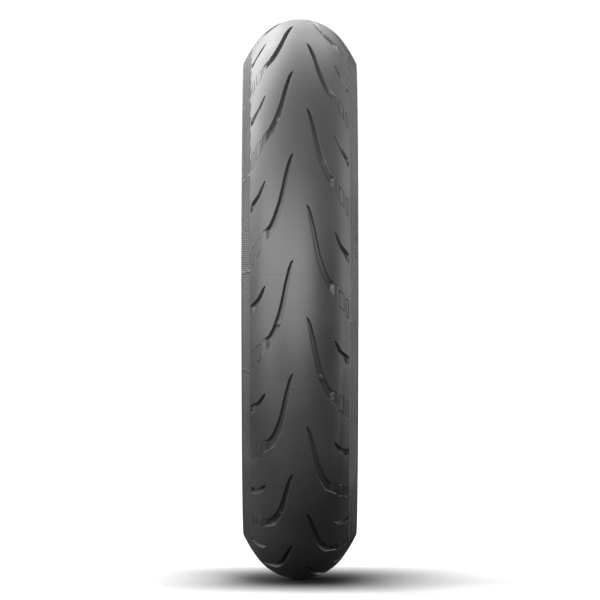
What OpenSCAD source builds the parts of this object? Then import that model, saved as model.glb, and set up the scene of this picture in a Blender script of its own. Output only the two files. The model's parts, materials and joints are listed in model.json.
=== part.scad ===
// Front sport-motorcycle tyre, 17 inch rim code, built up as its moulded rubber and reinforcing layers.
// Origin at the wheel centre, axle along Y, Z up, and the tread that faces the viewer is at +X.
// A section is drawn as [radius from the axle, distance from the centre plane] and turned about the axle.

/* [Size] */
// Outside radius at the crown
crown_radius = 299.5; // [290:0.5:310]
// Distance from the centre plane to each tread edge
half_width = 60.2; // [56:0.1:62]
// Radius of the bead seats, where the tyre grips the rim
seat_radius = 216.7; // [216:0.1:217.4]
// Distance from the centre plane to the outside of each bead
bead_half = 44.45; // [43:0.05:46]

/* [Crown shape] */
// Section radius of the crown
crown_arc = 57; // [55:0.5:60]
// Section radius of the flatter shoulder
shoulder_arc = 150; // [120:5:200]
// Distance from the centre plane where the crown runs into the shoulder
shoulder_start = 46; // [42:1:48]

/* [Layers] */
// Thickness of the tread rubber
tread_t = 5.6; // [5:0.1:7]
// Thickness of the base rubber under the tread
base_t = 0.8; // [0.6:0.1:1.2]
// Thickness of each belt
belt_t = 0.8; // [0.6:0.1:1]
// Thickness of each carcass ply
ply_t = 0.8; // [0.6:0.1:1]
// Thickness of the airtight liner
liner_t = 0.9; // [0.7:0.1:1.2]
// Thickness of the abrasion strip round each bead
chafer_t = 1.2; // [1:0.05:1.3]

/* [Tread pattern] */
// Number of long grooves on each side
pitches = 16; // [14:1:16]
// Depth of the long grooves
groove_depth = 4.2; // [3:0.1:4.6]
// Depth of the short shoulder grooves
nick_depth = 3; // [2:0.1:3.5]
// Height of a wear bar above the groove floor
wear_bar = 0.9; // [0.8:0.1:1.2]
// Lean of the groove walls from square
wall_lean = 9; // [4:1:14]

/* [Bead] */
// Width of each bead core
core_w = 6; // [5.9:0.05:6.1]
// Height of each bead core
core_h = 5; // [4.9:0.05:5.1]
// Thickness of the fabric wrap round each bead core
wrap_t = 0.4; // [0.3:0.05:0.5]

/* [Hidden] */
$fn = 180;

// Crown and shoulder arcs meet with one tangent at the join angle.
crown_o = [crown_radius - crown_arc, 0];
join_a = asin(shoulder_start / crown_arc);
shoulder_o = crown_o + (crown_arc - shoulder_arc) * [cos(join_a), sin(join_a)];
edge_a = asin((half_width - shoulder_o[1]) / shoulder_arc);
arc_step = 3;            // largest turn between points of a layer line

// Depths below the tread surface at which one layer meets the next.
d_base = tread_t;
d_belt_out = d_base + base_t;
d_belt_in = d_belt_out + belt_t;
d_ply_out = d_belt_in + belt_t;
d_ply_in = d_ply_out + ply_t;
d_liner = d_ply_in + ply_t;
d_air = d_liner + liner_t;

// Section angles at which the layers end. The angle is 0 at the centre plane.
compound_a = 30;         // centre compound meets shoulder compound
belt_out_a = 56;
belt_in_a = 58.5;
base_a = 61.5;

// Bead stack, from the rim outwards. The core stands clear of the seat by a chafer and a ply.
beside_core = 0.15;      // extra chafer thickness beside the core
core_low = seat_radius + chafer_t + ply_t + wrap_t;
core_top = core_low + core_h;
core_out = bead_half - chafer_t - beside_core - 2 * ply_t - wrap_t;
core_in = core_out - core_w;
y_ply_out = core_out + wrap_t + 2 * ply_t;   // outside of the outer ply
y_turn = core_out + wrap_t + ply_t;          // outside of the turn-up
y_core_side = core_out + wrap_t;
y_ply_in = core_in - wrap_t;                 // outside of the inner ply's main run
y_liner = y_ply_in - ply_t;
y_air = y_liner - liner_t;
toe_w = 1.3;                                 // the toe stands this far inside the liner
toe_h = 1.4;
toe_cut = 1;                                 // width of the toe's slant
y_toe = y_air - toe_w;
heel_r = 4;
flange_h = 16.5;                             // rise from the bead seat to the rubber's joint above the rim
flange_w = 4.55;                             // reach of that joint past the bead's outside
flange_top = [seat_radius + flange_h, bead_half + flange_w];
chafer_lip = core_top - 0.5;                 // top of the chafer on the air side
lip_w = 0.6;
ply_end = core_low + ply_t;                  // lower end of the outer ply

// A point on the layer line at depth d and section angle a.
function layer_pt(d, a) = a <= join_a ? crown_o + (crown_arc - d) * [cos(a), sin(a)]
                                      : shoulder_o + (shoulder_arc - d) * [cos(a), sin(a)];
// Every layer line turns at the same angles, so neighbouring layers share their corners.
stops = [0, compound_a, join_a, belt_out_a, belt_in_a, base_a, edge_a];
function steps(a, b) = max(1, ceil((b - a) / arc_step));
angles = concat([for (k = [0:len(stops) - 2], n = [steps(stops[k], stops[k + 1])], i = [0:n - 1])
    stops[k] + (stops[k + 1] - stops[k]) * i / n], [edge_a]);
function line(d, a, b) = [for (t = angles) if (t >= a && t <= b) layer_pt(d, t)];
function tail(v) = [for (i = [1:len(v) - 1]) v[i]];
function back(v) = [for (i = [len(v) - 1:-1:0]) v[i]];
function flip(v) = [for (p = back(v)) [p[0], -p[1]]];
function bezier(p, n) = [for (i = [0:n]) let (t = i / n, u = 1 - t)
    u * u * u * p[0] + 3 * u * u * t * p[1] + 3 * u * t * t * p[2] + t * t * t * p[3]];

// A layer line down the sidewall, from the tread edge at depth d to the bead stack at y.
side_n = 12;
side_pull = 9;
function side(d, y, reach, lift) = let (p = layer_pt(d, edge_a), leave = side_pull * [-sin(edge_a), cos(edge_a)])
    bezier([p, p + leave, [core_top + reach, y + lift], [core_top, y]], side_n);
outer_side = [8.6, 0.4];
inner_side = [5.2, 3];
side_ply_out = side(d_ply_out, y_ply_out, outer_side[0], outer_side[1]);
side_turn = side(d_ply_in, y_turn, outer_side[0], outer_side[1]);
// The two plies lie together down to the filler's tip, then part round the bead.
tip_i = 3;
part_ply_in = side(d_ply_in, y_ply_in, inner_side[0], inner_side[1]);
side_ply_in = [for (i = [0:side_n]) i <= tip_i ? side_turn[i] : part_ply_in[i]];
side_liner = side(d_liner, y_liner, inner_side[0], inner_side[1]);
side_air = side(d_air, y_air, inner_side[0], inner_side[1]);
// Inside of the turn-up, a ply's thickness in from the outer ply, below its upper end.
turn_i = 7;
turn_up = [for (i = [turn_i:side_n]) let (gap = side_ply_in[i] - side_turn[i])
    side_turn[i] + gap * ply_t / norm(gap)];

// Outside of the sidewall, from the tread edge to the rim flange.
tread_edge = layer_pt(0, edge_a);
edge_lip = tread_edge + [-0.8, 0.25];
sidewall_out = bezier([edge_lip, edge_lip + [-7, -0.2], flange_top + [4.6, 7], flange_top], 12);
flat_top = [seat_radius + 8.9, bead_half];   // the bead's outside is flat up to here
flange_curve = bezier([flange_top, flange_top + [-1.9, -2.9], flat_top + [3.3, 0], flat_top], 5);
heel = [for (a = [0:15:90]) [seat_radius + heel_r - heel_r * cos(a), bead_half - heel_r + heel_r * sin(a)]];

// Where the outer ply's outside passes the top of the chafer.
chafer_i = 6;

module turned(points) rotate([-90, 0, 0]) rotate_extrude() polygon(points);
// The left half is the mirror image of the right.
module on_side(side) {
    if (side > 0) children();
    else mirror([0, 1, 0]) children();
}

// Tread pattern. A place on the tread is [t, y]: t runs down the front of the tyre from the groove's
// tip, measured at the crown, and y is the distance from the centre plane.
pitch_a = 360 / pitches;
first_a = 3.4;           // angle of the first long groove on the right, below the +X axis
nick_t = 26.7;           // short groove's tip below the long groove's tip
function tilt(y) = y <= shoulder_start ? asin(y / crown_arc) : asin((y - shoulder_o[1]) / shoulder_arc);
function tread_pt(t, y, h) = let (a = tilt(y), s = layer_pt(-h, a), w = t / crown_radius * 180 / PI)
    [s[0] * cos(w), s[1], -s[0] * sin(w)];

// Each station is [inner edge, outer edge, share of the full depth] across the groove.
long_groove = [[[0, 6.7], [2.9, 10.2], 0.76], [[12, 8.9], [14, 13.5], 1], [[26, 11.5], [27, 16.6], 1],
               [[41, 14.3], [40.5, 19.3], 1], [[56, 16.8], [53.5, 22.3], 1], [[70, 20.8], [66, 26.2], 1],
               [[85.5, 25.4], [79.4, 32.3], 1], [[95.6, 34.2], [81.8, 34.4], 0.98],
               [[96.4, 34.8], [82.5, 35], 0.31], [[102.9, 38.9], [85.8, 38.9], 0.11]];
short_groove = [[[1.5, 35.6], [0.2, 36.6], 0.8], [[15.5, 40.6], [13.3, 43.2], 1],
                [[22.3, 45.4], [18.2, 46.7], 1], [[28.4, 48.6], [21.4, 49.5], 0.93], [[31.2, 50.8], [23.4, 50.9], 0.67]];
over = 1.2;              // cutters stand this far out of the tread
bar_i = 4;               // a wear bar lies between this station of the long groove and the next
bar_from = 63.5;         // wear bar's near side
bar_len = 4.5;

// Four corners of a station: its two edges above the tread, then its two floor corners.
function ring(s, depth) = let (across = (s[1] - s[0]) / norm(s[1] - s[0]), d = s[2] * depth,
                               up = over * tan(wall_lean), down = d * tan(wall_lean),
                               a = s[0] - up * across, b = s[1] + up * across,
                               c = s[1] - down * across, e = s[0] + down * across)
    [tread_pt(a[0], a[1], over), tread_pt(b[0], b[1], over),
     tread_pt(c[0], c[1], -d), tread_pt(e[0], e[1], -d)];

module groove(stations, depth) {
    n = len(stations);
    walls = [for (i = [0:n - 2], k = [0:3]) let (j = (k + 1) % 4)
        each [[4 * i + k, 4 * i + j, 4 * i + 4 + j], [4 * i + k, 4 * i + 4 + j, 4 * i + 4 + k]]];
    polyhedron([for (s = stations) each ring(s, depth)],
               concat([[3, 2, 1, 0]], walls, [[for (k = [0:3]) 4 * n - 4 + k]]), convexity = 4);
}
// Part of the long groove's floor stays up as a wear bar, on every second groove.
function between(a, b, t) = let (u = (t - a[0][0]) / (b[0][0] - a[0][0])) a + u * (b - a);
module long_cut(with_bar) {
    if (with_bar) {
        near = between(long_groove[bar_i], long_groove[bar_i + 1], bar_from);
        far = between(long_groove[bar_i], long_groove[bar_i + 1], bar_from + bar_len);
        low = 1 - wear_bar / groove_depth;
        groove([for (i = [0:bar_i]) long_groove[i],
                near, [near[0], near[1], low], [far[0], far[1], low], far,
                for (i = [bar_i + 1:len(long_groove) - 1]) long_groove[i]], groove_depth);
    } else groove(long_groove, groove_depth);
}

// The left half's grooves lie half a pitch on, and bars alternate from one half to the other.
module pattern(side, shorts = true)
    on_side(side)
        for (k = [0:pitches - 1]) rotate([0, first_a + (side > 0 ? k : k + 0.5) * pitch_a, 0]) {
            long_cut(k % 2 == (side > 0 ? 0 : 1));
            if (shorts) rotate([0, nick_t / crown_radius * 180 / PI, 0]) groove(short_groove, nick_depth);
        }

module tread_centre() color("#3a3b3d") difference() {
    turned(concat(flip(tail(line(0, 0, compound_a))), line(0, 0, compound_a),
                  back(line(d_base, 0, compound_a)), back(flip(tail(line(d_base, 0, compound_a))))));
    pattern(1, shorts = false);
    pattern(-1, shorts = false);
}
module tread_shoulder(side) color("#343537") difference() {
    on_side(side) turned(concat(line(0, compound_a, edge_a), [edge_lip],
                                back(line(d_base, compound_a, edge_a))));
    pattern(side);
}
module band(d, thick, a) {
    top = line(d, 0, a);
    under = line(d + thick, 0, a);
    turned(concat(flip(tail(top)), top, back(under), back(flip(tail(under)))));
}
module tread_base() color("#2b2b2c") band(d_base, base_t, base_a);
module belt_outer() color("#c9a24a") band(d_belt_out, belt_t, belt_out_a);
module belt_inner() color("#b8923f") band(d_belt_in, belt_t, belt_in_a);
module belt_edge_cushion(side) color("#232324") on_side(side)
    turned(concat(line(d_belt_out, belt_out_a, base_a), line(d_base, base_a, edge_a),
                  back(line(d_ply_out, belt_in_a, edge_a)), [layer_pt(d_belt_in, belt_in_a)],
                  [layer_pt(d_belt_in, belt_out_a)]));

// Half of a ply or the liner, from the centre plane down to the bead stack.
function half_line(d, side) = concat(line(d, 0, edge_a), tail(side));
module carcass_ply_outer() color("#d8cfb8") {
    half_out = concat(half_line(d_ply_out, side_ply_out), [[ply_end, y_ply_out]]);
    half_in = concat(half_line(d_ply_in, side_turn), [[ply_end, y_turn]]);
    turned(concat(flip(tail(half_out)), half_out, back(half_in), back(flip(tail(half_in)))));
}
module carcass_ply_inner() color("#cdc3a8") {
    ply_low = core_low - wrap_t - ply_t;
    half_out = concat(half_line(d_ply_in, side_ply_in),
                      [[core_low - wrap_t, y_ply_in], [core_low - wrap_t, y_core_side]],
                      back(turn_up), [for (i = [turn_i:side_n]) side_turn[i]], [[ply_low, y_turn]]);
    half_in = concat(half_line(d_liner, side_liner), [[ply_low, y_liner]]);
    turned(concat(flip(tail(half_out)), half_out, back(half_in), back(flip(tail(half_in)))));
}
module inner_liner() color("#1f1f20") {
    half_out = concat(half_line(d_liner, side_liner), [[core_low, y_liner]]);
    half_in = concat(half_line(d_air, side_air), [[core_low, y_air]]);
    turned(concat(flip(tail(half_out)), half_out, back(half_in), back(flip(tail(half_in)))));
}
module sidewall(side) color("#303133") on_side(side)
    turned(concat(sidewall_out, [for (i = [chafer_i:-1:0]) side_ply_out[i]], [layer_pt(d_base, edge_a)]));
module chafer(side) color("#262627") on_side(side) {
    ply_low = core_low - wrap_t - ply_t;
    turned(concat([for (i = [chafer_i:side_n]) side_ply_out[i]],
                  [[ply_end, y_ply_out], [ply_end, y_turn], [ply_low, y_turn], [ply_low, y_liner],
                   [core_low, y_liner], [core_low, y_air], [chafer_lip, y_air], [chafer_lip, y_air - lip_w],
                   [seat_radius + toe_h, y_toe], [seat_radius, y_toe + toe_cut]],
                  heel, back(flange_curve)));
}
module bead_filler(side) color("#29292a") on_side(side)
    turned(concat([for (i = [tip_i:turn_i]) side_turn[i]], turn_up,
                  [for (i = [side_n:-1:tip_i + 1]) side_ply_in[i]]));
module bead_wrap(side) color("#e4ddc8") on_side(side)
    turned([[core_low - wrap_t, y_ply_in], [core_low - wrap_t, y_core_side], [core_top, y_core_side],
            [core_top, core_out], [core_low, core_out], [core_low, core_in], [core_top, core_in],
            [core_top, y_ply_in]]);
module bead_core(side) color("#b9a06a") on_side(side)
    turned([[core_low, core_in], [core_low, core_out], [core_top, core_out], [core_top, core_in]]);

tread_centre();
tread_shoulder(-1);  // tread_shoulder_left
tread_shoulder(1);  // tread_shoulder_right
tread_base();
belt_outer();
belt_inner();
belt_edge_cushion(-1);  // belt_edge_cushion_left
belt_edge_cushion(1);  // belt_edge_cushion_right
carcass_ply_outer();
carcass_ply_inner();
inner_liner();
sidewall(-1);  // sidewall_left
sidewall(1);  // sidewall_right
chafer(-1);  // chafer_left
chafer(1);  // chafer_right
bead_filler(-1);  // bead_filler_left
bead_filler(1);  // bead_filler_right
bead_wrap(-1);  // bead_wrap_left
bead_wrap(1);  // bead_wrap_right
bead_core(-1);  // bead_core_left
bead_core(1);  // bead_core_right
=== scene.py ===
import json
import math

import bpy
import numpy as np
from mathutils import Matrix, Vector, geometry


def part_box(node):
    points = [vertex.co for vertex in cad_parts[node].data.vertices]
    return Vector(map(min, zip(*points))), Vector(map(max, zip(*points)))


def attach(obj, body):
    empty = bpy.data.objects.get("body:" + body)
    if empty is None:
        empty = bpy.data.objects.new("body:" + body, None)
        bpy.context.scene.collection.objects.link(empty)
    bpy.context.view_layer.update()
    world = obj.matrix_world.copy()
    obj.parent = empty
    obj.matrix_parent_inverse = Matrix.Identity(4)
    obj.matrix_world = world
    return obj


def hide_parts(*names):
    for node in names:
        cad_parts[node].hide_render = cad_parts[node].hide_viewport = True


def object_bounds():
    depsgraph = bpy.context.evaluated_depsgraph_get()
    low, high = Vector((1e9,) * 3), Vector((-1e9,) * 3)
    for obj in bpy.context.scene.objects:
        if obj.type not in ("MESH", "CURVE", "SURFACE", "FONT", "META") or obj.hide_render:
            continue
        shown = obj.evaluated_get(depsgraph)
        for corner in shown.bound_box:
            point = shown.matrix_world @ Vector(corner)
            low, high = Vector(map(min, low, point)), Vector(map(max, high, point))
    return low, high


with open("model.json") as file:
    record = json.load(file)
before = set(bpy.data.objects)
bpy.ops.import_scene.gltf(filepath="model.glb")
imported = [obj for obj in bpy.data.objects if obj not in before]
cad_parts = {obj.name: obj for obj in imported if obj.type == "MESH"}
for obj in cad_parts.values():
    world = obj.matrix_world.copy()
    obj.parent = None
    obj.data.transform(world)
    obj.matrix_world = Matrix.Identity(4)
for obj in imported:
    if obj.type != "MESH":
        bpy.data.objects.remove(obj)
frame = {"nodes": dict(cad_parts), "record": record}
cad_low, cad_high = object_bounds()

# ---------------------------------------------------------------------------
# Sizes. The section and the pattern are in millimetres, and MM brings them to the frame.
# ---------------------------------------------------------------------------
MM = 0.001
ROOT = "root"
TURN = 2 * math.pi

CROWN_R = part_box("tread_centre")[1].x / MM
CROWN_ARC = 57.0         # radius of the section at the crown
SHOULDER_ARC = 150.0     # radius of the section from SHOULDER_START outwards
SHOULDER_START = 46.0
HALF_WIDTH = 60.2
TREAD_T = 5.6            # thickness of the tread rubber
COMPOUND_A = math.radians(30)   # tilt at which the shoulder compound begins
JOIN_A = math.asin(SHOULDER_START / CROWN_ARC)
SHOULDER_RHO = CROWN_R - CROWN_ARC + (CROWN_ARC - SHOULDER_ARC) * math.cos(JOIN_A)
SHOULDER_Y = (CROWN_ARC - SHOULDER_ARC) * math.sin(JOIN_A)
EDGE_A = math.asin((HALF_WIDTH - SHOULDER_Y) / SHOULDER_ARC)
LIP = np.array([-0.8, 0.25])    # (radius, y) from the tread edge to the lip under it
S_JOIN = CROWN_ARC * JOIN_A
S_EDGE = S_JOIN + SHOULDER_ARC * (EDGE_A - JOIN_A)
S_COMPOUND = CROWN_ARC * COMPOUND_A

PITCHES = 16
PITCH_A = TURN / PITCHES
PITCH = PITCH_A * CROWN_R
FIRST_A = math.radians(3.4)
NICK_T = 26.7
ACROSS_STEPS = 40
STEP = PITCH / ACROSS_STEPS
ROW_STEP = STEP * 0.87      # rows of a near-equilateral grid

# Grooves. A station is (inner edge, outer edge, depth).
# An edge is (t down the tyre, y from the centre plane).
LONG = [
    ((0.0, 6.7), (2.6, 9.6), 3.6), ((5.5, 7.8), (8.0, 11.9), 4.2), ((13.0, 9.1), (14.5, 13.7), 4.2),
    ((26.0, 11.4), (27.0, 16.7), 4.2), ((40.0, 13.8), (40.0, 19.3), 4.2), ((54.0, 16.3), (52.5, 22.2), 4.2),
    ((64.0, 18.6), (61.5, 25.0), 4.2), ((74.0, 21.8), (71.0, 28.2), 4.2), ((86.0, 26.2), (79.6, 32.3), 4.2),
    ((95.6, 34.2), (81.8, 34.4), 4.1), ((96.4, 34.8), (82.5, 35.0), 1.2), ((102.9, 38.9), (85.8, 38.9), 0.4)]
SHORT = [
    ((1.2, 35.5), (0.0, 36.6), 2.2), ((9.0, 37.9), (6.2, 40.2), 3.6), ((16.6, 40.8), (13.2, 43.7), 3.6),
    ((23.3, 44.9), (17.4, 47.2), 3.6), ((29.3, 48.0), (20.6, 50.0), 3.4), ((32.2, 50.4), (23.4, 51.1), 2.2)]
ENGRAVED = 1.0           # depth of the thin outlines
FRAME_1 = [((90.0, 40.4), (94.6, 45.4), ENGRAVED), ((107.1, 40.4), (113.3, 45.4), ENGRAVED)]
FRAME_2 = [((99.2, 47.5), (101.3, 49.8), ENGRAVED), ((118.8, 47.5), (121.3, 49.8), ENGRAVED)]
BAR = (64.0, 68.5)       # a wear bar, from and to in t
BAR_H = 0.9
BAR_EDGE = 0.35
BAR_CLEAR = 0.5          # no other row of points is closer to a bar's edges
INNER_LEAN = math.tan(math.radians(2))
OUTER_LEAN = math.tan(math.radians(19))
MIN_LEAN = 0.35          # least sine of the angle between an edge and the line across the groove
MOST_INSET = 0.44        # most of a groove's width that one wall may take
EDGE_R = 0.2             # rounding of the groove edges
FLOOR_R = 0.45           # fillet at the floor
CORNER = 8               # the long groove's edges are curved up to this station and straight after it
INNER_R = 1.2            # rounding of the long groove's inner edge
TIP_FADE, END_FADE = 10, 8      # that rounding grows over 1/10 of the length at the tip and 1/8 at the end
END_STEP = 0.6           # spacing of points past the corner station
WIDE_PART = (0.8, 0.95)  # the part of a groove whose floor is wide, as shares of its length
FLOOR_INSET = 1.0
KNURL_FROM = 52.2        # the knurled band runs from here to the tread edge
KNURL_H = 0.8
KNURL_ROWS = 7
KNURL_ACROSS = 90        # knurl points round one pitch
KNURL_SKIN = 0.01        # the points that stay up are sunk this little, so the mesh gives their normals
KNURL_MARGIN = 1.0       # from the last row to the tread edge
# Least gaps between points of the flat pattern.
LINE_GAP, FILL_GAP, KNURL_GAP, FLOOR_GAP = 1.0, 1.5, 1.2, 0.4
TINY = 1e-9


# ---------------------------------------------------------------------------
# The tread surface: t runs down the front at the crown, s runs from the centre plane along the section.
# ---------------------------------------------------------------------------
def tilt_at(s):
    """Tilt of the surface from the crown, at s along the section."""
    s = np.asarray(s, float)
    return np.where(s <= S_JOIN, s / CROWN_ARC, JOIN_A + (s - S_JOIN) / SHOULDER_ARC)


def s_at(y):
    """Distance along the section at y from the centre plane."""
    if y <= SHOULDER_START:
        return CROWN_ARC * math.asin(y / CROWN_ARC)
    return S_JOIN + SHOULDER_ARC * (math.asin((y - SHOULDER_Y) / SHOULDER_ARC) - JOIN_A)


def section(s, h):
    """(radius, y) of the point at s, raised by h above the surface."""
    a = tilt_at(s)
    crown = a <= JOIN_A
    rho = np.where(crown, CROWN_R - CROWN_ARC + (CROWN_ARC + h) * np.cos(a),
                   SHOULDER_RHO + (SHOULDER_ARC + h) * np.cos(a))
    y = np.where(crown, (CROWN_ARC + h) * np.sin(a), SHOULDER_Y + (SHOULDER_ARC + h) * np.sin(a))
    return rho, y


def tread_lip():
    """(radius, y) of the lip under the tread edge."""
    return np.array(section(S_EDGE, 0)) + LIP


def turned(rho, y, w):
    """Points at angle w below +X."""
    rho, y, w = np.broadcast_arrays(rho, y, w)
    return np.stack([rho * np.cos(w), y, -rho * np.sin(w)], -1)


# ---------------------------------------------------------------------------
# One pitch of the pattern, laid out flat as (t, s, h).
# ---------------------------------------------------------------------------
def spline(points, u):
    """Catmull-Rom curve through the points, at u from 0 to 1."""
    p = np.array(points, float)
    n = len(p)
    p = np.vstack([2 * p[0] - p[1], p, 2 * p[-1] - p[-2]])
    v = np.clip(u, 0, 1) * (n - 1)
    i = np.minimum(v.astype(int), n - 2)
    f = (v - i)[:, None]
    a, b, c, d = p[i], p[i + 1], p[i + 2], p[i + 3]
    return 0.5 * (2 * b + (c - a) * f + (2 * a - 5 * b + 4 * c - d) * f**2 + (3 * b - a - 3 * c + d) * f**3)


def cross(a, b):
    """Signed area of the flat vectors a and b."""
    return a[..., 0] * b[..., 1] - a[..., 1] * b[..., 0]


class Outline:
    """The two edges of a groove, from its tip (u 0) to its end (u 1)."""

    def __init__(self, stations, shift=0.0):
        self.inner = np.array([(t + shift, s_at(y)) for (t, y), _, _ in stations])
        self.outer = np.array([(t + shift, s_at(y)) for _, (t, y), _ in stations])
        self.depths = np.array([d for _, _, d in stations])
        fine = np.linspace(0, 1, 801)
        a, b = self.edges(fine)
        mid = (a + b) / 2
        run = np.concatenate([[0], np.cumsum(np.linalg.norm(np.diff(mid, axis=0), axis=1))])
        self.fine, self.run, self.mid = fine, run, mid
        ta, tb, tm = (np.gradient(v, axis=0) for v in (a, b, mid))
        d = b - a
        self.width = np.linalg.norm(d, axis=1)
        self.lean = [np.abs(cross(v, d)) / (np.linalg.norm(v, axis=1) * self.width) for v in (ta, tb, tm)]

    def edges(self, u):
        """Points of the inner and the outer edge at u."""
        return tuple(self.edge(points, np.asarray(u, float)) for points in (self.inner, self.outer))

    def edge(self, points, u):
        """Curved up to the corner station, then straight from one station to the next."""
        last = len(points) - 1
        bend = min(CORNER - 1, last)
        stations = np.linspace(0, 1, last + 1)
        straight = np.column_stack([np.interp(u, stations, points[:, k]) for k in (0, 1)])
        return np.where((u <= bend / last)[:, None], spline(points[:bend + 1], u * last / bend), straight)

    def depth(self, u):
        return np.interp(u, np.linspace(0, 1, len(self.depths)), self.depths)

    def at(self, u, v, inset):
        """The point at u along and v across, on the outline drawn in by inset. u and v run from 0 to 1."""
        start = inset / max(self.lean[2][0], MIN_LEAN)
        stop = self.run[-1] - inset / max(self.lean[2][-1], MIN_LEAN)
        u = np.asarray(u, float)
        v = np.asarray(v, float)
        r = start + (stop - start) * u
        q = np.interp(r, self.run, self.fine)
        a, b = self.edges(q)
        width = np.interp(q, self.fine, self.width)
        fa = inset / (width * np.maximum(np.interp(q, self.fine, self.lean[0]), MIN_LEAN))
        fb = inset / (width * np.maximum(np.interp(q, self.fine, self.lean[1]), MIN_LEAN))
        fa, fb = np.minimum(fa, MOST_INSET), np.minimum(fb, MOST_INSET)
        p = a + (b - a) * (fa + v * (1 - fa - fb))[:, None]
        before = np.minimum(r, 0)[:, None]
        after = np.maximum(r - self.run[-1], 0)[:, None]
        head = (self.mid[4] - self.mid[0]) / np.linalg.norm(self.mid[4] - self.mid[0])
        tail = (self.mid[-1] - self.mid[-5]) / np.linalg.norm(self.mid[-1] - self.mid[-5])
        return p + before * head + after * tail, q


def around(u_list, n_end):
    """(u, v) once round an outline: up one edge, over the end, back down the other and over the tip."""
    ends = np.arange(n_end) / n_end
    loop = [(u, 0.0) for u in u_list[:-1]] + [(1.0, v) for v in ends]
    loop += [(u, 1.0) for u in u_list[:0:-1]] + [(0.0, 1 - v) for v in ends]
    return np.array(loop)


def groove(stations, shift, length_step, n_end, bar, inner_r=EDGE_R):
    """Rings of (t, s, h) from the tread surface down into one groove."""
    line = Outline(stations, shift)
    n = max(6, round(line.run[-1] / length_step))
    u_list = np.linspace(0, 1, n + 1)
    if len(stations) > CORNER:
        corner = np.interp((CORNER - 1) / (len(stations) - 1), line.fine, line.run)
        past = np.arange(corner, line.run[-1] - END_STEP / 2, END_STEP) / line.run[-1]
        u_list = np.concatenate([u_list[u_list < corner / line.run[-1]], past, [1.0]])
    mid_t = np.interp(u_list, line.run / line.run[-1], line.mid[:, 0])
    if bar:
        marks = [BAR[0] - BAR_EDGE, BAR[0], BAR[1], BAR[1] + BAR_EDGE]
        keep = [u for u, t in zip(u_list, mid_t) if min(abs(t - m) for m in marks) > BAR_CLEAR]
        u_bar = np.interp(marks, line.mid[:, 0], line.run / line.run[-1])
        u_list = np.array(sorted([*keep, *u_bar]))
    along, over = around(u_list, n_end).T
    inner = np.clip(np.minimum(along * TIP_FADE, (1 - along) * END_FADE), 0, 1) * (over == 0)
    edge_r = EDGE_R + (inner_r - EDGE_R) * inner
    back = 0.5 * edge_r * inner
    # Over the rounded edge: (share of its radius drawn in, mm further out, share of its radius down).
    steps = [(-1.0, 0.6, 0.0), (-1.0, 0.0, 0.0), (-0.5, 0.0, 0.134), (-0.134, 0.0, 0.5), (0.0, 0.0, 1.0)]
    rings = []
    for share, before, sink in steps:
        p, _ = line.at(along, over, edge_r * share - before + back)
        rings.append(np.column_stack([p, -sink * edge_r]))
    lean = INNER_LEAN + (OUTER_LEAN - INNER_LEAN) * over
    # Round the floor fillet: (share of its radius drawn in, share of its radius down).
    for share, sink in ((0.0, 0.0), (0.293, 0.707), (1.0, 1.0)):
        _, q = line.at(along, over, 0)
        for _ in range(4):
            floor = line.depth(q)
            radius = np.minimum(FLOOR_R, 0.5 * floor)
            p, q = line.at(along, over, (floor - radius) * lean + share * radius + back)
        down = np.maximum(floor - radius * (1 - sink), edge_r)
        if bar:
            down = down - bar_lift(p[:, 0])
        rings.append(np.column_stack([p, -down]))
    return rings, floor_points(line, u_list, bar)


def bar_lift(t):
    """Height of the wear bar above the floor, at t."""
    return np.interp(t, [BAR[0] - BAR_EDGE, BAR[0], BAR[1], BAR[1] + BAR_EDGE], [0, BAR_H, BAR_H, 0])


def floor_points(line, u_list, bar):
    """Points of a groove's floor between its edges."""
    wide = u_list[(u_list > WIDE_PART[0]) & (u_list < WIDE_PART[1])]
    spots = [(u, 0.5) for u in u_list[2:-1]] + [(u, v) for u in wide for v in (0.25, 0.75)]
    u, v = np.array(spots).T
    p, q = line.at(u, v, FLOOR_INSET)
    down = line.depth(q) - (bar_lift(p[:, 0]) if bar else 0)
    return np.column_stack([p, -down])


def engraved(stations, shift):
    """Rings of a thin engraved outline."""
    line = Outline(stations, shift)
    low = -line.depths[0]
    loop = around(np.linspace(0, 1, 9), 4)
    rings = []
    for inset, h in ((-1.0, 0), (-0.55, 0), (-0.35, low), (0.35, low), (0.55, 0), (1.0, 0)):
        p, _ = line.at(loop[:, 0], loop[:, 1], inset)
        rings.append(np.column_stack([p, np.full(len(p), float(h))]))
    return rings


def with_crossings(ring, s):
    """The ring with a point added wherever it crosses the line at s."""
    out = []
    for p, q in zip(ring, np.roll(ring, -1, 0)):
        out.append(p)
        if (p[1] - s) * (q[1] - s) < 0:
            x = p + (q - p) * (s - p[1]) / (q[1] - p[1])
            x[1] = s
            out.append(x)
    return np.array(out)


def inside(points, ring):
    """Which points are inside the closed ring."""
    x, y = points[:, 0][:, None], points[:, 1][:, None]
    x0, y0 = ring[:, 0], ring[:, 1]
    x1, y1 = np.roll(x0, -1), np.roll(y0, -1)
    spans = (y0 > y) != (y1 > y)
    hit = x < (x1 - x0) * (y - y0) / np.where(y1 == y0, 1, y1 - y0) + x0
    return (spans & hit).sum(1) % 2 == 1


def near(points, others, gap):
    """Which points are closer than gap to any of the others."""
    d = np.full(len(points), np.inf)
    chunk = 400
    for i in range(0, len(others), chunk):
        apart = points[:, None, :2] - others[None, i:i + chunk, :2]
        d = np.minimum(d, np.linalg.norm(apart, axis=2).min(1))
    return d < gap


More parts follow.
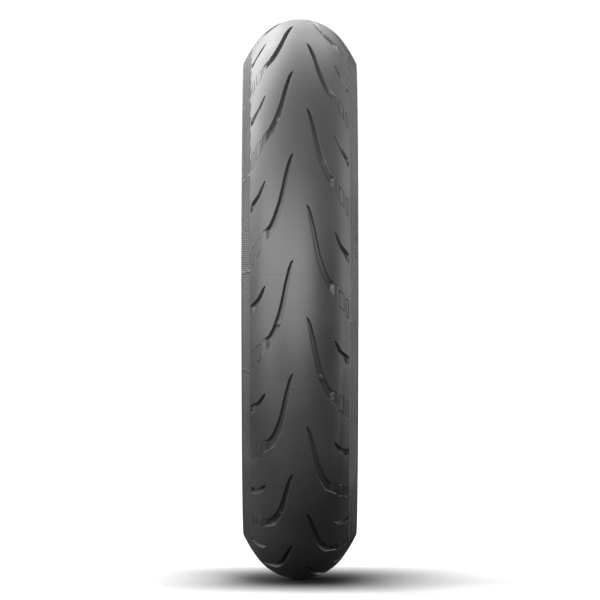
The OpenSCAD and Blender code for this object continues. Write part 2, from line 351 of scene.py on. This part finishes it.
def knurl(s_list, t_list):
    """Points of the knurled band, every second one sunk."""
    rows = []
    for j, s in enumerate(np.linspace(s_at(KNURL_FROM), S_EDGE - KNURL_MARGIN, KNURL_ROWS)):
        i = np.arange(1, KNURL_ACROSS)
        t = np.interp(s, s_list, t_list) + i * PITCH / KNURL_ACROSS
        h = np.where((i + j // 2) % 2 == 0, -KNURL_H, -KNURL_SKIN)
        rows.append(np.column_stack([t, 0 * t + s, h]))
    return np.vstack(rows)


# The line (s, t) between two pitches, which keeps clear of the grooves.
CUT_PATH = [(0, -6), (s_at(35), -6), (s_at(40), 0), (s_at(45), 8), (S_EDGE, 10)]


def pitch_cell(bar):
    """Vertices (t, s, h) and triangles of one pitch."""
    loops, floor = groove(LONG, 0, length_step=2.0, n_end=6, bar=bar, inner_r=INNER_R)
    short, short_floor = groove(SHORT, NICK_T, length_step=1.6, n_end=4, bar=False)
    cuts = [loops[0], short[0]]
    floor = np.vstack([floor, short_floor])
    loops = loops + short + engraved(FRAME_1, 0) + engraved(FRAME_2, 0)
    loops = [with_crossings(r, S_COMPOUND) for r in loops]

    s_list = np.concatenate([np.linspace(0, S_COMPOUND, 12), np.linspace(S_COMPOUND, S_EDGE, 16)[1:]])
    t_list = np.interp(s_list, [s for s, _ in CUT_PATH], [t for _, t in CUT_PATH])
    left = np.column_stack([t_list, s_list, 0 * s_list])
    right = left + [PITCH, 0, 0]
    span = np.arange(1, ACROSS_STEPS) * STEP
    low = np.column_stack([t_list[0] + span, 0 * span, 0 * span])
    top = np.column_stack([t_list[-1] + span, 0 * span + S_EDGE, 0 * span])

    ring_points = np.vstack(loops)
    on_line = ring_points[np.abs(ring_points[:, 1] - S_COMPOUND) < TINY]
    t_line = np.interp(S_COMPOUND, s_list, t_list)
    regular = np.column_stack([t_line + span, 0 * span + S_COMPOUND, 0 * span])
    covered = near(regular, on_line, LINE_GAP) | inside(regular, cuts[0])
    regular = regular[~covered]

    rows = []
    for i, s in enumerate(np.arange(ROW_STEP, S_EDGE - KNURL_MARGIN, ROW_STEP)):
        t0 = np.interp(s, s_list, t_list)
        t = t0 + STEP * (0.5 + 0.5 * (i % 2)) + np.arange(ACROSS_STEPS) * STEP
        rows.append(np.column_stack([t, 0 * t + s, 0 * t]))
    fill = np.vstack(rows)
    solid = np.vstack([ring_points, left, right, low, top, regular])
    fill = fill[~near(fill, solid, FILL_GAP) & (fill[:, 1] < s_at(KNURL_FROM) - KNURL_GAP)]
    for ring in cuts:
        fill = fill[~inside(fill, ring)]

    verts, edges = [], []

    def add(points, closed=None):
        first = len(verts)
        verts.extend(points)
        if closed is not None:
            count = len(points)
            joins = count if closed else count - 1
            edges.extend((first + i, first + (i + 1) % count) for i in range(joins))
        return np.arange(first, first + len(points))

    i_left, i_right = add(left, False), add(right, False)
    i_low, i_top = add(low), add(top)
    for chain in ([i_left[0], *i_low, i_right[0]], [i_left[-1], *i_top, i_right[-1]]):
        edges.extend(zip(chain[:-1], chain[1:]))
    for ring in loops:
        add(ring, True)
    add(regular)
    add(fill)
    add(knurl(s_list, t_list))
    add(floor[~near(floor, ring_points, FLOOR_GAP)])
    flat = np.array(verts)
    line = np.where(np.abs(flat[:, 1] - S_COMPOUND) < TINY)[0]
    line = line[np.argsort(flat[line, 0])]
    edges.extend(zip(line[:-1], line[1:]))

    out, _, faces, source, _, _ = geometry.delaunay_2d_cdt(
        [Vector((t, s)) for t, s, _ in flat], [(int(a), int(b)) for a, b in edges], [], 1, 1e-5)
    at = np.array([tuple(p) for p in out])
    pick = [o[0] if o else np.linalg.norm(flat[:, :2] - p, axis=1).argmin() for o, p in zip(source, at)]
    exact = np.array([bool(o) for o in source])[:, None]
    cell = np.column_stack([np.where(exact, flat[pick, :2], at), flat[pick, 2]])
    tris = np.array([f for f in faces if len(f) == 3])
    a, b, c = (cell[tris[:, k], :2] for k in range(3))
    turn = cross(b - a, c - a)
    tris[turn < 0] = tris[turn < 0][:, ::-1]
    tris = tris[np.abs(turn) > TINY]
    return cell, tris


# ---------------------------------------------------------------------------
# The whole tread from its pitches, then cut into the centre and the two shoulders.
# ---------------------------------------------------------------------------
def tread_faces():
    """Points, normals, section place and triangles of the whole tread surface."""
    cells = [pitch_cell(True), pitch_cell(False)]
    points, normals, places, tris, count = [], [], [], [], 0
    for side in (1, -1):
        for k in range(PITCHES):
            cell, faces = cells[k % 2 if side > 0 else (k + 1) % 2]
            w = FIRST_A + (k if side > 0 else k + 0.5) * PITCH_A + cell[:, 0] / CROWN_R
            rho, y = section(cell[:, 1], cell[:, 2])
            a = tilt_at(cell[:, 1])
            points.append(turned(rho, side * y, w))
            normals.append(turned(np.cos(a), side * np.sin(a), w))
            places.append(np.column_stack([side * cell[:, 1], cell[:, 2], w]))
            tris.append((faces if side > 0 else faces[:, ::-1]) + count)
            count += len(cell)
    return (np.vstack(v) for v in (points, normals, places, tris))


def weld(places, tris):
    """Joins the points that two pitches share: (index of the kept points, triangles on them)."""
    # Points count as one when they agree to a micrometre of section and a microradian of turn.
    turn = np.mod(places[:, 2] + 1e-4, TURN)
    key = np.round(np.column_stack([places[:, :2] * 1e3, turn * 1e6])).astype(np.int64)
    _, first, back = np.unique(key, axis=0, return_index=True, return_inverse=True)
    return first, back.reshape(-1)[tris]


def unit(v):
    return v / np.maximum(np.linalg.norm(v, axis=-1, keepdims=True), 1e-12)


def face_normals(points, tris):
    a, b, c = (points[tris[:, k]] for k in range(3))
    return np.cross(b - a, c - a)


class Solid:
    """Points, triangles and corner normals of one closed piece, in millimetres."""

    def __init__(self):
        self.points, self.tris, self.normals = np.zeros((0, 3)), [], []

    def add(self, points):
        first = len(self.points)
        self.points = np.vstack([self.points, points])
        return np.arange(first, len(self.points))

    def faces(self, tris, normals=None):
        """Triangles with a normal for each corner, or flat ones."""
        if normals is None:
            normals = np.repeat(unit(face_normals(self.points, tris))[:, None], 3, axis=1)
        self.tris.append(tris)
        self.normals.append(normals)

    def ring(self, rho, y, angles):
        return angles, self.add(turned(rho, y, angles))

    def strip(self, a, b, out):
        """Joins two rings, whose points may be at different angles. out, as (radius, y), is the way it faces."""
        (wa, ia), (wb, ib) = a, b
        na, nb, tris = len(wa), len(wb), []
        first = int(np.searchsorted(wb, wa[0])) % nb
        wb = np.concatenate([wb[first:], wb[:first] + TURN])
        ib = np.roll(ib, -first)
        if wb[0] - wa[0] > math.pi:
            wb = wb - TURN
        i, j = 0, 0
        while i < na or j < nb:
            next_a = wa[i + 1] if i + 1 < na else wa[0] + TURN
            next_b = wb[j + 1] if j + 1 < nb else wb[0] + TURN
            if j >= nb or (i < na and next_a <= next_b):
                tris.append((ia[i % na], ia[(i + 1) % na], ib[j % nb]))
                i += 1
            else:
                tris.append((ib[j % nb], ia[i % na], ib[(j + 1) % nb]))
                j += 1
        tris = np.array(tris)
        middle = self.points[tris].mean(1)
        w = np.arctan2(-middle[:, 2], middle[:, 0])
        facing = (unit(face_normals(self.points, tris)) * turned(out[0], out[1], w)).sum(1)
        if facing.mean() < 0:
            tris = tris[:, ::-1]
        self.faces(tris)

    def build(self, name):
        tris = np.vstack(self.tris)
        used, tris = np.unique(tris, return_inverse=True)
        tris = tris.reshape(-1, 3)
        mesh = bpy.data.meshes.new(name)
        mesh.from_pydata((self.points[used] * MM).tolist(), [], tris.tolist())
        mesh.normals_split_custom_set(np.vstack([n.reshape(-1, 3) for n in self.normals]).tolist())
        mesh.update()
        piece = bpy.data.objects.new(name, mesh)
        bpy.context.scene.collection.objects.link(piece)
        return piece


def make_tread():
    """The three tread pieces: {node name: object}."""
    points, analytic, places, tris = tread_faces()
    first, tris = weld(places, tris)
    points, analytic, places = points[first], analytic[first], places[first]
    total = np.zeros_like(points)
    for k in range(3):
        np.add.at(total, tris[:, k], face_normals(points, tris))
    normals = np.where((places[:, 1] == 0)[:, None], analytic, unit(total))
    middle = places[tris][:, :, 0].mean(1)

    lip = tread_lip()
    angles = np.arange(PITCHES * ACROSS_STEPS) * STEP / CROWN_R
    made = {}
    for side, name in ((0, "tread_centre"), (1, "tread_shoulder_right"), (-1, "tread_shoulder_left")):
        piece = Solid()
        piece.add(points)
        mine = tris[np.abs(middle) < S_COMPOUND] if side == 0 else tris[middle * side > S_COMPOUND]
        piece.faces(mine, normals[mine])

        def border(s):
            """The piece's points on the line at s, in order round the tyre."""
            found = np.intersect1d(np.where(np.abs(places[:, 0] - s) < 1e-7)[0], mine)
            w = np.mod(places[found, 2], TURN)
            order = np.argsort(w)
            return w[order], found[order]

        def beneath(s, w):
            rho, y = section(abs(s), -TREAD_T)
            return piece.ring(rho, math.copysign(1, s) * y, w)

        if side == 0:
            rim_r, rim_l = border(S_COMPOUND), border(-S_COMPOUND)
            rings = [beneath(S_COMPOUND, rim_r[0])]
            rings += [beneath(s, angles) for s in np.linspace(S_COMPOUND, -S_COMPOUND, 15)[1:-1]]
            rings += [beneath(-S_COMPOUND, rim_l[0])]
            piece.strip(rim_r, rings[0], (-0.5, 0.87))
            piece.strip(rim_l, rings[-1], (-0.5, -0.87))
        else:
            rim, edge = border(side * S_COMPOUND), border(side * S_EDGE)
            lip_ring = piece.ring(lip[0], side * lip[1], edge[0])
            piece.strip(edge, lip_ring, (0.3, side * 0.95))
            rings = [beneath(side * S_COMPOUND, rim[0])]
            rings += [beneath(side * s, angles) for s in np.linspace(S_COMPOUND, S_EDGE, 9)[1:-1]]
            rings += [beneath(side * S_EDGE, edge[0])]
            piece.strip(lip_ring, rings[-1], (-0.95, side * 0.3))
            piece.strip(rim, rings[0], (0.5, -side * 0.87))
        for a, b in zip(rings[:-1], rings[1:]):
            piece.strip(a, b, (-1, 0))
        made[name] = piece.build(name + "_moulded")
    return made


# ---------------------------------------------------------------------------
# The sidewalls: moulded rings, a ribbed band, wear triangles and a rolling-direction arrow.
# ---------------------------------------------------------------------------
SEAT_R = 216.7
FLANGE_TOP = np.array([SEAT_R + 16.5, 49.0])
CORE_TOP = 224.1
PLY_Y = 43.1
PLY_DEPTH = 8.0
WALL_COLUMNS = 1080
RIB_COLUMNS = 4
RIB_H = 0.35
PANELS = (math.radians(90), math.radians(270))
PANEL_HALF = math.radians(7)
# Relief down the wall: (share of the way from the tread edge to the rim, height, share of a rib's height).
RELIEF = [
    (0.0, 0.0, 0), (0.05, 0.0, 0), (0.062, -0.4, 0), (0.088, -0.4, 0), (0.10, 0.0, 0), (0.17, 0.0, 0),
    (0.185, -0.35, 0), (0.205, -0.35, 1), (0.26, -0.35, 1), (0.32, -0.35, 1), (0.38, -0.35, 1),
    (0.44, -0.35, 1), (0.50, -0.35, 1), (0.56, -0.35, 1), (0.60, -0.35, 1), (0.62, -0.35, 0),
    (0.635, 0.0, 0), (0.69, 0.0, 0), (0.70, 0.3, 0), (0.715, 0.3, 0), (0.725, 0.0, 0), (0.76, 0.0, 0),
    (0.77, 0.3, 0), (0.785, 0.3, 0), (0.795, 0.0, 0), (0.85, 0.0, 0), (0.865, 0.5, 0), (0.90, 0.5, 0),
    (0.915, 0.0, 0), (0.96, 0.0, 0), (1.0, 0.0, 0)]
BAND_MIDDLE = 0.41
ARROW = [(-13, -1.1), (5, -1.1), (5, -3.0), (13, 0), (5, 3.0), (5, 1.1), (-13, 1.1)]
WEAR_MARK = [(-1.9, 1.2), (1.9, 1.2), (0, -1.2)]
WEAR_MARKS = 6
WEAR_MIDDLE = 0.175
MARK_UP, MARK_DOWN = 0.3, -0.6
MARK_STEP = 1.2          # spacing of points round a mark


def bezier(p, t):
    """Point at t of the cubic curve with the four points p."""
    t = np.asarray(t, float)[..., None]
    u = 1 - t
    return u**3 * p[0] + 3 * u**2 * t * p[1] + 3 * u * t**2 * p[2] + t**3 * p[3]


def wall(t, h=0.0):
    """(radius, y) on the sidewall, t of the way from the tread edge to the rim and raised by h."""
    lip = tread_lip()
    curve = [lip, lip + [-7, -0.2], FLANGE_TOP + [4.6, 7], FLANGE_TOP]
    step = 1e-4
    run = bezier(curve, np.asarray(t) + step) - bezier(curve, np.asarray(t) - step)
    out = unit(np.stack([run[..., 1], -run[..., 0]], -1))
    return bezier(curve, t) + out * np.asarray(h, float)[..., None]


WALL_RUN = float(np.linalg.norm(np.diff(wall(np.linspace(0, 1, 60)), axis=0), axis=1).sum())


def mark(piece, outline, middle, centre, side):
    """A raised mark, drawn flat as (forwards, up) about a place on the wall."""
    corners = np.array(outline, float)
    ring = []
    for a, b in zip(corners, np.roll(corners, -1, 0)):
        n = max(1, round(np.linalg.norm(b - a) / MARK_STEP))
        ring += [a + (b - a) * i / n for i in range(n)]
    edges = [(i, (i + 1) % len(ring)) for i in range(len(ring))]
    out, _, faces, _, _, _ = geometry.delaunay_2d_cdt([Vector(p) for p in ring], edges, [], 1, 1e-5)
    flat = np.array([tuple(p) for p in out])

    def placed(h):
        rho, y = wall(middle - flat[:, 1] / WALL_RUN, np.full(len(flat), h)).T
        return piece.add(turned(rho, side * y, centre + flat[:, 0] / rho))

    top, bottom = placed(MARK_UP), placed(MARK_DOWN)
    tris = np.array([f for f in faces if len(f) == 3])
    facing = (face_normals(piece.points, top[tris]) * [0, side, 0]).sum()
    tris = tris if facing > 0 else tris[:, ::-1]
    walls = []
    for a, b in edge_loop(tris):
        walls += [(top[b], top[a], bottom[a]), (top[b], bottom[a], bottom[b])]
    piece.faces(top[tris])
    piece.faces(bottom[tris[:, ::-1]])
    piece.faces(np.array(walls))


def edge_loop(tris):
    """The directed edges that only one triangle has."""
    sides = {(a, b) for t in tris.tolist() for a, b in zip(t, t[1:] + t[:1])}
    return [(a, b) for a, b in sides if (b, a) not in sides]


def make_sidewall(side, name):
    """One sidewall: its moulded outer face, its inner face along the ply, and the marks on it."""
    piece = Solid()
    angles = np.arange(WALL_COLUMNS) * TURN / WALL_COLUMNS
    rib = (np.arange(WALL_COLUMNS) % RIB_COLUMNS < RIB_COLUMNS / 2).astype(float)
    for panel in PANELS:
        rib[np.abs(angles - panel) < PANEL_HALF] = 0
    rows = []
    for t, h, share in RELIEF:
        rho, y = wall(np.full(WALL_COLUMNS, t), h + share * RIB_H * rib).T
        rows.append(piece.add(turned(rho, side * y, angles)))
    grid = np.array(rows)
    a, b = grid[:-1], grid[1:]
    c, d = np.roll(b, -1, 1), np.roll(a, -1, 1)
    tris = np.vstack([np.stack([a, b, c], -1).reshape(-1, 3), np.stack([a, c, d], -1).reshape(-1, 3)])
    if (face_normals(piece.points, tris)[:, 1] * side).mean() < 0:
        tris = tris[:, ::-1]
    total = np.zeros_like(piece.points)
    for k in range(3):
        np.add.at(total, tris[:, k], face_normals(piece.points, tris))
    piece.faces(tris, unit(total)[tris])

    start = np.array(section(S_EDGE, -PLY_DEPTH))
    leave = 9 * np.array([-math.sin(EDGE_A), math.cos(EDGE_A)])
    ply = [start, start + leave, np.array([CORE_TOP + 8.6, PLY_Y + 0.4]), np.array([CORE_TOP, PLY_Y])]
    under = [section(S_EDGE, -TREAD_T), *bezier(ply, np.arange(7) / 12)]
    rings = [piece.ring(rho, side * y, angles) for rho, y in under]
    # Open fault: the last strip, to the foot, faces inwards. Its way should be (0.2, -0.95 * side).
    ways = [(0.95, 0.1 * side), (0.9, -0.3 * side), *[(0.3, -0.95 * side)] * 6, (-0.9, 0.2 * side)]
    lip, foot = (angles, grid[0]), (angles, grid[-1])
    for p, q, way in zip([lip, *rings], [*rings, foot], ways):
        piece.strip(p, q, way)
    for panel in PANELS:
        mark(piece, ARROW, BAND_MIDDLE, panel, side)
    for k in range(WEAR_MARKS):
        mark(piece, WEAR_MARK, WEAR_MIDDLE, (k + 0.5) * TURN / WEAR_MARKS, side)
    return piece.build(name + "_moulded")


# ---------------------------------------------------------------------------
# Materials
# ---------------------------------------------------------------------------
class Nodes:
    """A small helper to build a material's nodes."""

    def __init__(self, name):
        self.material = bpy.data.materials.new(name)
        self.material.use_nodes = True
        self.tree = self.material.node_tree
        self.tree.nodes.clear()
        self.out = self.add("ShaderNodeOutputMaterial")
        self.shader = self.add("ShaderNodeBsdfPrincipled")
        self.link(self.shader.outputs["BSDF"], self.out.inputs["Surface"])
        self.place = self.add("ShaderNodeTexCoord").outputs["Object"]

    def add(self, kind, **settings):
        node = self.tree.nodes.new(kind)
        for key, value in settings.items():
            setattr(node, key, value)
        return node

    def link(self, a, b):
        self.tree.links.new(a, b)

    def put(self, value, socket):
        if isinstance(value, bpy.types.NodeSocket):
            self.link(value, socket)
        else:
            socket.default_value = value

    def math(self, operation, *values):
        node = self.add("ShaderNodeMath", operation=operation)
        for value, socket in zip(values, node.inputs):
            self.put(value, socket)
        return node.outputs[0]

    def noise(self, scale, detail=3.0, rough=0.5, where=None):
        node = self.add("ShaderNodeTexNoise")
        self.put(where or self.place, node.inputs["Vector"])
        self.put(scale, node.inputs["Scale"])
        self.put(detail, node.inputs["Detail"])
        self.put(rough, node.inputs["Roughness"])
        return node.outputs["Fac"]

    def ramp(self, value, low, high, out_low=0.0, out_high=1.0):
        node = self.add("ShaderNodeMapRange")
        for v, socket in zip((value, low, high, out_low, out_high), node.inputs):
            self.put(v, socket)
        return node.outputs[0]

    def blend(self, share, a, b):
        node = self.add("ShaderNodeMix", data_type="RGBA")
        self.put(share, node.inputs["Factor"])
        self.put((*a, 1.0) if isinstance(a, tuple) else a, node.inputs["A"])
        self.put((*b, 1.0) if isinstance(b, tuple) else b, node.inputs["B"])
        return node.outputs["Result"]

    def round_tyre(self):
        """(angle about the axle, radius, y) of the point being shaded."""
        split = self.add("ShaderNodeSeparateXYZ")
        self.link(self.place, split.inputs[0])
        x, y, z = split.outputs
        angle = self.math("ARCTAN2", z, x)
        squares = [self.math("MULTIPLY", v, v) for v in (x, z)]
        radius = self.math("SQRT", self.math("ADD", *squares))
        return angle, radius, y

    def bump(self, height, distance, strength=1.0, under=None):
        node = self.add("ShaderNodeBump")
        self.put(height, node.inputs["Height"])
        self.put(distance, node.inputs["Distance"])
        self.put(strength, node.inputs["Strength"])
        if under:
            self.link(under, node.inputs["Normal"])
        return node.outputs["Normal"]

    def finish(self, colour, roughness, normal, **constants):
        self.put(colour, self.shader.inputs["Base Color"])
        self.put(roughness, self.shader.inputs["Roughness"])
        self.link(normal, self.shader.inputs["Normal"])
        for key, value in constants.items():
            self.shader.inputs[key.replace("_", " ")].default_value = value
        return self.material


SECTOR_FROM = math.radians(355)      # turn of the lines that the mould's sectors leave
SECTOR_LINE = 0.00035                # their half width, in metres like the lengths below
DOT_PITCH = 0.0013
DOT_BAND = (0.0516, 0.0522, 0.0592, 0.0598)     # the dots fade in and out between these distances from y 0
WIRE_PITCH = 0.0011
GRAIN_DEPTH = 0.00005


def tread_rubber(name, dark, light):
    """Moulded tread rubber: fine grain, dusty patches, sector lines and a knurled band at the edge."""
    n = Nodes(name)
    angle, _, y = n.round_tyre()
    patches = n.noise(14, 4)
    grain = n.noise(1600, 2)
    fine = n.noise(420, 3, 0.6)
    off = n.math("ABSOLUTE", y)

    sector = n.math("PINGPONG", n.math("ADD", angle, SECTOR_FROM), PITCH_A / 2)
    line = n.ramp(n.math("MULTIPLY", sector, CROWN_R * MM), 0.0, SECTOR_LINE, 1.0, 0.0)

    along = n.math("MULTIPLY", angle, CROWN_R * MM)
    slanted = n.math("ADD", along, n.math("MULTIPLY", off, 0.6))
    ribs = n.math("SINE", n.math("MULTIPLY", slanted, TURN / DOT_PITCH))
    rows = n.math("SINE", n.math("MULTIPLY", off, TURN / DOT_PITCH))
    knurl = n.math("MULTIPLY", n.math("ADD", ribs, rows), 0.5)
    band = n.math("MULTIPLY", n.ramp(off, *DOT_BAND[:2]), n.ramp(off, *DOT_BAND[2:], 1.0, 0.0))

    normal = n.bump(n.math("ADD", grain, n.math("MULTIPLY", fine, 1.5)), 0.00006, 0.6)
    normal = n.bump(line, 0.00015, 0.6, normal)
    normal = n.bump(n.math("MULTIPLY", knurl, band), 0.0002, 0.6, normal)
    tone = n.ramp(n.math("ADD", patches, n.math("MULTIPLY", fine, 0.5)), 0.45, 1.05)
    colour = n.blend(tone, dark, light)
    rough = n.math("ADD", n.ramp(patches, 0.3, 0.7, 0.42, 0.52), n.math("MULTIPLY", grain, 0.05))
    return n.finish(colour, rough, normal, Specular_IOR_Level=0.5)


def plain_rubber(name, dark, light, rough):
    """Smooth moulded rubber with a fine grain."""
    n = Nodes(name)
    patches, grain = n.noise(18, 4), n.noise(1400, 2)
    colour = n.blend(n.ramp(patches, 0.3, 0.75), dark, light)
    even = n.ramp(patches, 0.3, 0.7, rough - 0.05, rough + 0.05)
    shine = n.math("ADD", even, n.math("MULTIPLY", grain, 0.05))
    return n.finish(colour, shine, n.bump(grain, GRAIN_DEPTH, 0.6), Specular_IOR_Level=0.5)


def cord_layer(name, dark, light, pitch, slant):
    """Rubber-coated cords lying side by side, at a slant in degrees to the centre plane."""
    n = Nodes(name)
    slant = math.radians(slant)
    angle, _, y = n.round_tyre()
    along = n.math("MULTIPLY", angle, CROWN_R * MM * math.cos(slant))
    across = n.math("ADD", along, n.math("MULTIPLY", y, math.sin(slant)))
    cords = n.math("SINE", n.math("MULTIPLY", across, TURN / pitch))
    wear = n.noise(60, 3)
    colour = n.blend(n.ramp(n.math("ADD", cords, wear), -0.6, 1.6), dark, light)
    rough = n.ramp(wear, 0.3, 0.7, 0.55, 0.75)
    return n.finish(colour, rough, n.bump(cords, 0.0003, 0.7), Specular_IOR_Level=0.35)


def wire_bundle(name):
    """A ring of bronze-coated steel wires."""
    n = Nodes(name)
    _, radius, y = n.round_tyre()
    wires = n.math("SINE", n.math("MULTIPLY", radius, TURN / WIRE_PITCH))
    rows = n.math("SINE", n.math("MULTIPLY", y, TURN / WIRE_PITCH))
    stain = n.noise(90, 4)
    colour = n.blend(n.ramp(stain, 0.3, 0.7), (0.30, 0.20, 0.09), (0.52, 0.40, 0.22))
    rough = n.ramp(stain, 0.3, 0.7, 0.3, 0.5)
    return n.finish(colour, rough, n.bump(n.math("ADD", wires, rows), 0.0003, 0.7), Metallic=1.0)


BLACK, SOOT = (0.015, 0.0152, 0.0158), (0.028, 0.0283, 0.0292)
finishes = {
    "tread_centre_rubber": tread_rubber("tread_centre_rubber_look", BLACK, SOOT),
    "tread_shoulder_rubber": tread_rubber("tread_shoulder_rubber_look", BLACK, SOOT),
    "base_rubber": plain_rubber("base_rubber_look", (0.015, 0.015, 0.016), (0.028, 0.028, 0.029), 0.65),
    "belt_cord": cord_layer("belt_cord_look", (0.2, 0.13, 0.04), (0.45, 0.32, 0.12), 0.0013, 25),
    "ply_cord": cord_layer("ply_cord_look", (0.22, 0.19, 0.14), (0.5, 0.45, 0.35), 0.001, 80),
    "liner_rubber": plain_rubber("liner_rubber_look", (0.018, 0.018, 0.019), (0.032, 0.032, 0.033), 0.4),
    "sidewall_rubber": plain_rubber("sidewall_rubber_look", BLACK, SOOT, 0.46),
    "chafer_rubber": plain_rubber("chafer_rubber_look", (0.02, 0.02, 0.021), (0.035, 0.035, 0.036), 0.42),
    "filler_rubber": plain_rubber("filler_rubber_look", (0.016, 0.016, 0.017), (0.03, 0.03, 0.031), 0.6),
    "bead_fabric": cord_layer("bead_fabric_look", (0.4, 0.36, 0.28), (0.66, 0.6, 0.5), 0.0008, 45),
    "bead_wire": wire_bundle("bead_wire_look"),
}

# ---------------------------------------------------------------------------
# Pieces
# ---------------------------------------------------------------------------
slots = {p["node"]: p["material_slot"] for p in frame["record"]["subparts"]}
moulded = make_tread()
for side, node in ((1, "sidewall_right"), (-1, "sidewall_left")):
    moulded[node] = make_sidewall(side, node)
for node, piece in moulded.items():
    piece.data.materials.append(finishes[slots[node]])
    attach(piece, ROOT)
    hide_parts(node)
for node, piece in frame["nodes"].items():
    if node not in moulded:
        piece.data.materials.clear()
        piece.data.materials.append(finishes[slots[node]])

# ---------------------------------------------------------------------------
# Studio: pale floor, soft light, and a long lens at axle height
# ---------------------------------------------------------------------------
FLOOR_Z = cad_low.z
CAMERA_X = 6.589
LENS = 368.9
SHIFT = (0.00015, -0.0013)
FLOOR_HALF = 60.0
FLOOR_DROP = 0.0002      # the floor is this much under the tyre
PAINTED_SHADOW_REACH = 0.16       # the painted contact shadow on the floor reaches this far from the tyre
AIR_ABOVE = 0.72
AIR_BELOW = 0.02
# Lights: (azimuth from the camera side towards +Y, elevation), half angle, radiance. Angles are in degrees.
LIGHTS = {
    "left": ((-64, 12), 31, 6.6),
    "front": ((-4, 5), 31, 8.6),
    "top_left": ((-140, 29), 24, 6.0),
    "back_right": ((118, 2), 20, 4.2),
    "top_back": ((180, 45), 25, 3.0),
}


def floor():
    """A pale sweep, seen only by the camera, so its bounce does not grey the black tyre's underside. Near the
    tyre its colour is darkened towards black by ambient occlusion, which is a painted contact shadow.
    """
    n = Nodes("studio_floor")
    shade = n.noise(3, 2)
    # Painted contact shadow: the floor's colour fades to near black where ambient occlusion finds the tyre close
    # by.
    nearby = n.add("ShaderNodeAmbientOcclusion")
    nearby.inputs["Distance"].default_value = PAINTED_SHADOW_REACH
    clear_of_painted_shadow = n.math("POWER", n.ramp(nearby.outputs["AO"], 0.3, 0.97), 1.8)
    pale = n.blend(shade, (0.5, 0.5, 0.5), (0.52, 0.52, 0.52))
    n.finish(n.blend(clear_of_painted_shadow, (0.01, 0.01, 0.01), pale), n.ramp(shade, 0.3, 0.7, 0.85, 0.95),
             n.bump(n.noise(200), 0.0001, 0.1), Specular_IOR_Level=0.1)
    mesh = bpy.data.meshes.new("floor")
    corners = [(x * FLOOR_HALF, y * FLOOR_HALF, 0) for x, y in ((-1, -1), (1, -1), (1, 1), (-1, 1))]
    mesh.from_pydata(corners, [], [(0, 1, 2, 3)])
    mesh.materials.append(n.material)
    piece = bpy.data.objects.new("floor", mesh)
    piece.location.z = FLOOR_Z - FLOOR_DROP
    piece.visible_diffuse = False
    piece.visible_glossy = False
    bpy.context.scene.collection.objects.link(piece)


def soft_sun(name, toward, half_angle, radiance):
    """A round soft light from the direction toward, which is (azimuth, elevation) as in LIGHTS."""
    azimuth, elevation = map(math.radians, toward)
    level = math.cos(elevation)
    ray = Vector((level * math.cos(azimuth), level * math.sin(azimuth), math.sin(elevation)))
    light = bpy.data.lights.new(name, "SUN")
    light.angle = math.radians(2 * half_angle)
    light.energy = radiance * math.pi * math.sin(light.angle / 2) ** 2
    lamp = bpy.data.objects.new(name, light)
    lamp.location = ray * 3
    lamp.rotation_euler = (-ray).to_track_quat("-Z", "Y").to_euler()
    bpy.context.scene.collection.objects.link(lamp)


def studio_air():
    """Even light from above the horizon, little from below it, and a white surround."""
    world = bpy.data.worlds.new("studio_air")
    world.use_nodes = True
    tree = world.node_tree
    sky = tree.nodes["Background"]
    place = tree.nodes.new("ShaderNodeTexCoord")
    split = tree.nodes.new("ShaderNodeSeparateXYZ")
    rise = tree.nodes.new("ShaderNodeMapRange")
    path = tree.nodes.new("ShaderNodeLightPath")
    white = tree.nodes.new("ShaderNodeMix")
    rise.interpolation_type = "SMOOTHSTEP"
    for socket, value in zip(rise.inputs[1:5], (-0.12, 0.35, AIR_BELOW, AIR_ABOVE)):
        socket.default_value = value
    tree.links.new(place.outputs["Generated"], split.inputs[0])
    tree.links.new(split.outputs["Z"], rise.inputs[0])
    tree.links.new(path.outputs["Is Camera Ray"], white.inputs["Factor"])
    tree.links.new(rise.outputs[0], white.inputs["A"])
    white.inputs["B"].default_value = 1.05
    tree.links.new(white.outputs["Result"], sky.inputs["Strength"])
    sky.inputs["Color"].default_value = (1, 1, 1, 1)
    bpy.context.scene.world = world


def studio():
    """The floor, the surround and the lights."""
    floor()
    studio_air()
    for name, settings in LIGHTS.items():
        soft_sun(name, *settings)
    bpy.context.scene.view_settings.view_transform = "Standard"


def camera():
    """A long lens at axle height, which looks along -X."""
    data = bpy.data.cameras.new("camera")
    data.lens, data.sensor_width = LENS, 36.0
    data.shift_x, data.shift_y = SHIFT
    data.clip_start, data.clip_end = 0.1, 100
    cam = bpy.data.objects.new("camera", data)
    cam.location = (CAMERA_X, 0, 0)
    cam.rotation_euler = (math.radians(90), 0, math.radians(90))
    bpy.context.scene.collection.objects.link(cam)
    bpy.context.scene.camera = cam


studio()
camera()
